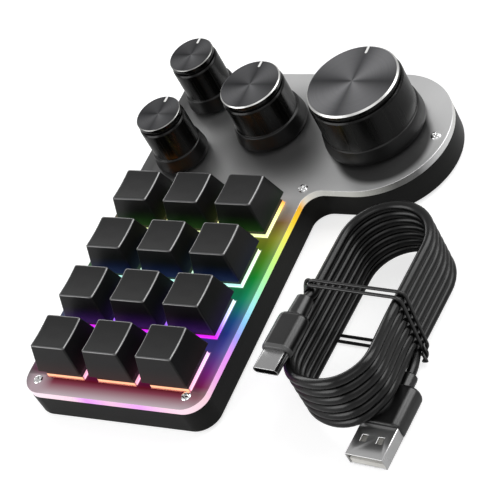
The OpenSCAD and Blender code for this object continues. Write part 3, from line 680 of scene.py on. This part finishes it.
def bend_height(k, t):
    """Height in the front bend, from the right run's level k to the left run's level k - 1."""
    middle = BEND_LOW + (k - 2) * BEND_PITCH
    if t < BEND_MIDDLE:
        return level(k) + (middle - level(k)) * ease(t / BEND_MIDDLE)
    return middle + (level(k - 1) - middle) * ease((t - BEND_MIDDLE) / (BEND_END - BEND_MIDDLE))


def lifted(u, v, z, past):
    """A point of a turn that passes over the USB-A plug. past is how far along the front bend it is."""
    risen, fallen = (past - RISE_FROM) / (RISE_TO - RISE_FROM), (past - FALL_FROM) / (FALL_TO - FALL_FROM)
    return Vector((u, v, z)) + PLUG_RISE * (ease(risen) - ease(fallen))


def cable_line():
    """The cable's centreline: from the USB-C plug down the wound turns to the USB-A plug."""
    back, right, front, left = 24, 24, 30, 12          # steps in each side of a turn
    line = smooth_route(C_ROUTE)
    line += [Vector((-HANK_R, v, level(LEVELS) - 0.04)) for v in (12.0, 15.0)]
    for k in range(LEVELS, 0, -1):
        for i in range(back + 1):
            a = math.pi * (1 - i / back)
            line.append(Vector((HANK_R * math.cos(a), HANK_HALF + HANK_R * math.sin(a), level(k))))
        if k == 1:
            break
        for i in range(1, right):
            v = HANK_HALF * (1 - 2 * i / right)
            line.append(lifted(HANK_R, v, level(k), -HANK_HALF - v))
        for i in range(front + 1):
            a = math.pi * i / front
            u, v = HANK_R * math.cos(a), -HANK_HALF - HANK_R * math.sin(a)
            line.append(lifted(u, v, bend_height(k, i / front), HANK_R * a))
        line += [Vector((-HANK_R, HANK_HALF * (2 * i / left - 1), level(k - 1))) for i in range(1, left)]
    line += smooth_route(A_ROUTE[::-1])
    return [from_hank(*p) for p in line]


def tubes(name, lines, diameter, sides, material, replaced):
    """Round tubes along lines of points, each with whether it is closed, as one piece."""
    data = bpy.data.curves.new(name, "CURVE")
    data.dimensions = "3D"
    data.bevel_depth = diameter / 2 * MM
    data.bevel_resolution = sides
    data.use_fill_caps = True
    for line, closed in lines:
        spline = data.splines.new("POLY")
        spline.points.add(len(line) - 1)
        for point, p in zip(spline.points, line):
            point.co = (*(p * MM), 1.0)
        spline.use_cyclic_u = closed
    return add(name, data, "keypad", [material], replaced)


cable = tubes("usb_cable", [(cable_line(), False)], CORD_D, 8, CORD_BLACK,
              ("cable_hank", "cable_end_c", "cable_end_a"))


# The cable's plugs, in the hank's frame
def bar_ring(axis, v, w, h, r):
    """A ring round a plug's axis, at a place along it."""
    return [from_hank(axis[0] + x, v, axis[1] + z) for x, z in round_rect(w, h, r)]


def plug(name, node, axis, sections, materials):
    """A moulded plug body and its strain relief, lofted over (place, width, height, corner radius, mark)."""
    rings = [bar_ring(axis, *s[:4]) for s in sections]
    data = mesh_of(name, loft(rings, [s[4] for s in sections[:-1]]), 40)
    return even_normals(add(name, data, "keypad", materials, (node,)))


C_SECTIONS = [(-5.4, 4.5, 3.9, 1.8, 0), (-5.7, 5.0, 4.4, 2.0, 0), (-11.6, 5.6, 4.7, 2.2, 0),
              (-12.0, 5.8, 4.8, 2.3, 0), (-12.1, 8.4, 4.5, 2.2, 0), (-12.6, 9.3, 5.0, 2.4, 0),
              (-13.2, 9.6, 5.2, 2.5, 0), (-23.2, 9.6, 5.2, 2.5, 1), (-23.7, 9.5, 5.1, 2.4, 1),
              (-24.2, 9.2, 4.8, 2.3, 1), (-24.4, 8.8, 4.4, 2.1, 1)]
A_SECTIONS = [(-13.2, 4.4, 3.7, 1.8, 0), (-13.4, 5.0, 4.1, 2.0, 0), (-13.8, 5.2, 4.2, 2.0, 0),
              (-17.6, 5.3, 4.2, 2.0, 0), (-18.0, 5.5, 4.2, 2.0, 0),
              (-18.05, 10.6, 5.4, 2.4, 0), (-18.5, 12.0, 6.3, 2.6, 0), (-19.3, 12.8, 6.8, 2.7, 0),
              (-30.8, 12.8, 6.8, 2.7, 0), (-31.3, 12.6, 6.6, 2.6, 0), (-31.6, 12.1, 6.1, 2.5, 0)]
c_plug = plug("usb_c_plug_moulding", "usb_c_plug_body", C_AXIS, C_SECTIONS, [PLUG_BLACK, PLUG_RING])
a_plug = plug("usb_a_plug_moulding", "usb_a_plug_body", A_AXIS, A_SECTIONS, [PLUG_BLACK])


def in_mouth(face):
    """Whether a face of the USB-C shell is inside it, in front of its back wall."""
    spot = face.calc_center_median() / MM - Vector((HANK_X, HANK_Y, C_AXIS[1]))
    c, s = math.cos(HANK_TURN), math.sin(HANK_TURN)
    u, v = spot.x * c - spot.y * s - C_AXIS[0], spot.x * s + spot.y * c
    to_front = -face.normal.x * s - face.normal.y * c
    skin, front_band = 0.15, 0.5
    within = abs(u) < C_SHELL_W / 2 - skin and abs(spot.z) < C_SHELL_H / 2 - skin
    return int(within and (to_front < 0.9 or v > C_SHELL_FRONT + front_band))


c_shell = soften("usb_c_plug_shell", "keypad", [NICKEL_PAINTED_DIM, MOUTH_BLACK], 0.12, mark=in_mouth)
a_shell = soften("usb_a_plug_shell", "keypad", [NICKEL], 0.12)

# The tie: two wires round the hank, a knot at the top and a twisted end at the bottom
TIE_D, TIE_V, TIE_SPREAD, TIE_SLANT, TIE_GAP, TIE_CORNER = 1.0, -0.9, 2.0, 2.0, 2.1, 2.1


def tie_wire(v, bow):
    """A loop over the top runs, down the outer faces and under the hank, bowed along the hank."""
    out, top, low, r = HANK_R + TIE_GAP, level(LEVELS) + 2.4, TIE_D / 2, TIE_CORNER
    corners = ((out - r, top - r, 90), (out - r, low + r, 0), (r - out, low + r, -90),
               (r - out, top - r, -180))
    points = []
    for cx, cz, start in corners:
        for i in range(7):
            a = math.radians(start - 15 * i)
            z = cz + r * math.sin(a)
            points.append(from_hank(cx + r * math.cos(a), v - TIE_SLANT * (1 - z / top), z))
    forward = from_hank(0, 1, 0) - from_hank(0, 0, 0)
    return [p + forward * bow * math.sin(math.tau * i / len(points)) for i, p in enumerate(points)]


def twist(start, end, radius, phase, steps=40):
    """One turn of a wire round the line from start to end."""
    axis = (end - start).normalized()
    side = axis.cross(Vector((0, 0, 1))).normalized()
    up = side.cross(axis)
    points = []
    for i in range(steps + 1):
        t = i / steps
        a = math.tau * t + phase
        points.append(start.lerp(end, t) + (side * math.cos(a) + up * math.sin(a)) * radius)
    return points


tie_lines = [(tie_wire(TIE_V + s * TIE_SPREAD / 2, s * 0.25), True) for s in (-1, 1)]
twist_start, twist_end = from_hank(16.4, -2.6, 4.0), from_hank(17.0, -6.6, 1.2)
tie_lines += [(twist(twist_start, twist_end, TIE_D / 2, phase), False) for phase in (0.0, math.pi)]
knot = [from_hank(-15.9 - math.sin(a), TIE_V + 1.9 * math.cos(a), 21.4 + math.sin(2 * a))
        for a in (math.tau * i / 32 for i in range(32))]
tie_lines.append((knot, True))
tie = tubes("tie_wires", tie_lines, TIE_D, 5, TIE_BLACK, ("cable_tie",))


# ---- Keycaps ----
def cap_top(y):
    """Height of the dished top over a keycap's lower edge."""
    dish_r = ((CAP_TOP_D / 2) ** 2 + CAP_DISH ** 2) / (2 * CAP_DISH)
    return CAP_H - CAP_DISH + dish_r - math.sqrt(dish_r ** 2 - y ** 2)


def keycap_shape():
    """A hollow keycap with leaning walls, a rounded edge and a dished top."""
    inner, inside_h = CAP_BASE - 2 * CAP_WALL, CAP_H - CAP_ROOF
    lean_w, lean_d = (CAP_BASE - CAP_TOP_W) / CAP_H, (CAP_BASE - CAP_TOP_D) / CAP_H
    edge, lip, widest_top = 0.5, 0.15, 11.9

    def ring(size, height, r):
        outline = round_rect(size - lean_w * height, size - lean_d * height, r, 4, 7)
        return [(x, y, height) for x, y in outline]

    rings = [ring(inner, inside_h, 0.5), ring(inner, lip, 0.5), ring(inner + 2 * lip, 0.0, 0.55),
             ring(CAP_BASE - 2 * lip, 0.0, 0.55), ring(CAP_BASE, lip, 0.6)]
    wall_top = CAP_H - edge
    for i in range(4):
        a = math.pi / 2 * i / 3
        w = CAP_BASE - lean_w * wall_top - 2 * edge * (1 - math.cos(a))
        d = CAP_BASE - lean_d * wall_top - 2 * edge * (1 - math.cos(a))
        drop = edge * (1 - math.sin(a))
        outline = round_rect(w, min(d, widest_top), 0.6, 4, 7)
        rings.append([(x, y, cap_top(y * 0.995) - drop) for x, y in outline])
    last = rings[-1]
    for share in (0.93, 0.75, 0.5, 0.25):
        rings.append([(x * share, y * share, cap_top(y * share)) for x, y, _ in last])
    return loft(rings, [0] * 5 + [1] * 3 + [0] * 4)


def post_shape():
    """The hollow post under a keycap, which holds the switch's cross."""
    top, low, roof = CAP_H - CAP_ROOF + 0.1, 2.5, 6.1
    bore, outer = 2.08, 2.6
    profile = ((0, roof), (bore, roof), (bore, low), (outer, low), (outer, top), (0, top))
    return lathe([(*corner, 0, 0) for corner in profile], 32)


keycap_mesh = mesh_of("keycap_moulding", joined(keycap_shape(), post_shape()), 34)
for row, key_y in enumerate(KEY_Y, 1):
    row_mesh = keycap_mesh.copy()
    row_mesh.name = f"keycap_moulding_r{row}"
    for column, key_x in enumerate(KEY_X, 1):
        cap = add(f"cap_r{row}c{column}", row_mesh, f"key_r{row}c{column}",
                  [CAP_LOOKS[row - 1], CAP_EDGE], (f"keycap_r{row}c{column}",))
        cap.location = Vector((key_x, key_y, CAP_Z)) * MM
        even_normals(cap)


# ---- Switch springs ----
def coil(radius, wire, turns, low, high, steps=16, sides=6):
    """A coil spring: a skin over rings along its rising wire."""
    rings, count = [], turns * steps
    for i in range(count + 1):
        a, rise = math.tau * i / steps, low + wire / 2 + (high - low - wire) * i / count
        around = [math.tau * k / sides for k in range(sides)]
        out = [(radius + wire / 2 * math.cos(b), rise + wire / 2 * math.sin(b)) for b in around]
        rings.append([(r * math.cos(a), r * math.sin(a), z) for r, z in out])
    return loft(rings)


spring_low, spring_high = (corner[2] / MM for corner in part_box("switch_springs"))
spring_mesh = mesh_of("switch_spring", coil(1.65, 0.4, 5, spring_low, spring_high), 60)
for row, key_y in enumerate(KEY_Y, 1):
    for column, key_x in enumerate(KEY_X, 1):
        spring = add(f"spring_r{row}c{column}", spring_mesh, "keypad", [SPRING],
                     ("switch_springs",))
        spring.location = Vector((key_x, key_y, 0)) * MM
        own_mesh(spring)


# ---- Knobs ----
def knob_shape(side, skirt, height):
    """A knob's body: its bore, hollow and flared skirt (mark 1), and its side and neck (mark 0)."""
    roof, step, hollow, bore_top = height - KNOB_CAP_T, skirt - side, side - KNOB_WALL, KNOB_LIFT + HOLLOW_H
    neck, bore_end = side - 1.2, roof - KNOB_ROOF
    return lathe([(0, bore_end, 0, 1), (SHAFT_R, bore_end, 0, 1), (SHAFT_R, bore_top, 0, 1),
                  (hollow, bore_top, 0, 1), (hollow, KNOB_LIFT, 0, 1), (skirt, KNOB_LIFT, 0.3, 1),
                  (skirt, KNOB_LIFT + 1.2, 1.0, 1), (side + step * 0.45, SKIRT_H - 0.3, 0.6, 1),
                  (side, SKIRT_H, 0.4, 0), (side, roof - 1.7, 0.35, 0), (side - 0.4, roof - 1.1, 0.1, 0),
                  (neck, roof - 1.0, 0.1, 0), (neck, roof, 0, 0), (0, roof, 0, 0)])


def cap_shape(side, height):
    """A knob's metal cap: its spun face (mark 0), its rim (1), the pointer line (2) and its underside (3)."""
    rim = side * RIM_SHARE
    bevel = rim * (BEVEL_SHARE if side > SMALL_SIDE else SMALL_BEVEL)
    low, face = height - KNOB_CAP_T, height - 0.1
    flat = rim - bevel
    disc = lathe([(0, low, 0, 3), (rim, low, 0, 3), (rim, height - bevel, 0.04, 1), (flat, height, 0, 0),
                  (flat - 0.06, height, 0, 0), (flat - 0.14, face, 0, 0), (0.25, face, 0, 0),
                  (0, face - 0.05, 0, 0)])
    length = 1.6 + 0.08 * side
    line = [(x, y + flat - length / 2) for x, y in round_rect(0.75, length, 0.3)]
    return joined(disc, loft([[(x, y, z) for x, y in line] for z in (face - 0.1, height)], [2]))


for name, (knob_x, knob_y, side, skirt, height) in KNOBS.items():
    spot = Vector((knob_x, knob_y, TOP_Z)) * MM
    knob = add(f"knob_{name}_moulding", mesh_of(f"knob_{name}_moulding", knob_shape(side, skirt, height)),
               f"push_{name}", [KNOB_SIDE, KNOB_SKIRT], (f"knob_{name}",))
    knob.location = spot
    rim_look = RIM_BRIGHT if side > SMALL_SIDE else RIM_DIM
    metal = add(f"knob_{name}_disc", mesh_of(f"knob_{name}_disc", cap_shape(side, height), 25),
                f"push_{name}", [SPUN[name], rim_look, POINTER_WHITE, KNOB_SIDE],
                (f"knob_{name}_cap",))
    metal.location = spot


# ---- Case and plate ----
def on_outside(p):
    """Whether a point is on the case's outer face."""
    slack = 0.05
    left, right, front, back = (CASE_LEFT + CORNER_R, BAY_RIGHT - CORNER_R, CASE_FRONT + CORNER_R,
                                CASE_BACK - CORNER_R)
    if p.x < left and (p.y < front or p.y > back):
        return (p.xy - Vector((left, front if p.y < 0 else back))).length > CORNER_R - slack
    if p.x > right and p.y < front:
        return (p.xy - Vector((right, front))).length > CORNER_R - slack
    if p.x > LOBE_X:
        return (p.xy - Vector((LOBE_X, LOBE_Y))).length > LOBE_R - slack
    near_neck = (p.xy - Vector((BAY_RIGHT + NECK_R, NECK_Y - NECK_R))).length < NECK_R + slack
    return (p.x < CASE_LEFT + slack or p.y < CASE_FRONT + slack or p.y > CASE_BACK - slack or near_neck
            or (abs(p.x - BAY_RIGHT) < slack and p.y < NECK_Y)
            or (abs(p.y - NECK_Y) < slack and p.x > BAY_RIGHT))


tray = soften("case_tray", "keypad", [CASE_BLACK], 0.6,
              weigh=lambda p: (1.0 if p.z < 2 else 0.25) if on_outside(p) else 0.0, segments=3)
plate = soften("top_plate", "keypad", [PLATE_TOP, PLATE_EDGE], 0.25,
               mark=lambda f: int(abs(f.normal.z) < 0.5), weigh=lambda p: 1.0 if on_outside(p) else 0.0)
soften("plate_screws", "keypad", [CHROME], 0.08)
soften("switch_tops", "keypad", [SWITCH_GLOW], 0.12)
for piece in (tray, plate):
    even_normals(piece)

# Looks of the CAD nodes that stay as they are, by the start of their names
LOOKS = {
    "rubber_feet": RUBBER, "circuit_board": BOARD, "switch_bases": BASE_GLOW,
    "key_lights": LIGHT_WHITE, "usb_socket": TIN, "encoder_housings": ENCODER, "usb_a_plug_tongue": TONGUE,
    "stem_": STEM_TAN, "rotor_": ROTOR, "shaft_": SHAFT,
}
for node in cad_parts:
    for start, look in LOOKS.items():
        if node.startswith(start):
            for holder in bpy.data.objects[node].material_slots:
                holder.material = look


# ---- Stage and light ----
def seen_by(tree, *kinds):
    """1 for the named kinds of ray, and 0 for others."""
    path = tree.nodes.new("ShaderNodeLightPath")
    total = path.outputs[kinds[0]]
    for kind in kinds[1:]:
        total = larger(tree, total, path.outputs[kind])
    return total


FLOOR_GREY, FLOOR_REACH = (0.55, 0.55, 0.55, 1), 4.0
WHITE_NEAR, WHITE_FAR = (0.25, 0.7), (1.2, 0.9)        # metres from the middle, and the floor's own light there
FLOOR_IN_GLOSS, SKY_IN_GLOSS, SKY_LIGHT = 0.1, 0.55, 0.28


def make_floor():
    """A white floor for the camera, which is plain grey where it lights the object."""
    material = bpy.data.materials.new("floor_white")
    material.use_nodes = True
    tree = material.node_tree
    tree.nodes.clear()
    out = tree.nodes.new("ShaderNodeOutputMaterial")
    matt = tree.nodes.new("ShaderNodeBsdfDiffuse")
    matt.inputs["Color"].default_value = FLOOR_GREY
    light = tree.nodes.new("ShaderNodeEmission")
    x, y, _ = split(tree, place(tree))
    distance = math_node(tree, "SQRT", math_node(tree, "ADD", times(tree, x, x), times(tree, y, y)))
    white = spread(tree, distance, WHITE_NEAR[0], WHITE_FAR[0], WHITE_NEAR[1], WHITE_FAR[1])
    shown = times(tree, seen_by(tree, "Is Camera Ray", "Is Transmission Ray"), white)
    gloss = times(tree, seen_by(tree, "Is Glossy Ray"), FLOOR_IN_GLOSS)
    tree.links.new(larger(tree, shown, gloss), light.inputs["Strength"])
    both = tree.nodes.new("ShaderNodeAddShader")
    tree.links.new(matt.outputs[0], both.inputs[0])
    tree.links.new(light.outputs[0], both.inputs[1])
    tree.links.new(both.outputs[0], out.inputs[0])
    data = bpy.data.meshes.new("floor")
    corners = ((-1, -1), (1, -1), (1, 1), (-1, 1))
    data.from_pydata([(x * FLOOR_REACH, y * FLOOR_REACH, 0) for x, y in corners], [], [(0, 1, 2, 3)])
    data.materials.append(material)
    floor = bpy.data.objects.new("floor", data)
    bpy.context.scene.collection.objects.link(floor)


def make_world():
    """A white sky, which is dimmer where it lights the object."""
    bpy.context.scene.view_settings.view_transform = "Standard"
    world = bpy.data.worlds.new("studio")
    bpy.context.scene.world = world
    world.use_nodes = True
    tree = world.node_tree
    back = tree.nodes["Background"]
    shown = spread(tree, seen_by(tree, "Is Camera Ray", "Is Transmission Ray"), 0.0, 1.0, SKY_LIGHT, 1.0)
    gloss = times(tree, seen_by(tree, "Is Glossy Ray"), SKY_IN_GLOSS)
    tree.links.new(larger(tree, shown, gloss), back.inputs["Strength"])
    back.inputs["Color"].default_value = (1, 1, 1, 1)


LAMP_TARGET = (0, 0, 0.02)
LAMPS = (                                      # place, size and power
    ("overhead", (0.3, 0.54, 0.86), (0.5, 0.5), 3.2),
    ("front_left", (-0.62, -0.76, 0.44), (0.9, 0.7), 6.5),
    ("back_right", (0.7, 0.56, 0.58), (0.7, 0.5), 4.0),
    ("back_left", (-0.9, 0.62, 0.26), (0.8, 0.34), 2.2),
    ("front_right", (0.5, -0.5, 0.82), (0.7, 0.6), 1.4),
)


def softbox(name, where, size, power):
    data = bpy.data.lights.new(name, "AREA")
    data.shape = "RECTANGLE"
    data.size, data.size_y = size
    data.energy = power
    lamp = bpy.data.objects.new(name, data)
    bpy.context.scene.collection.objects.link(lamp)
    lamp.location = where
    lamp.rotation_mode = "QUATERNION"
    lamp.rotation_quaternion = (Vector(LAMP_TARGET) - Vector(where)).to_track_quat("-Z", "Y")


make_floor()
make_world()
for lamp in LAMPS:
    softbox(*lamp)
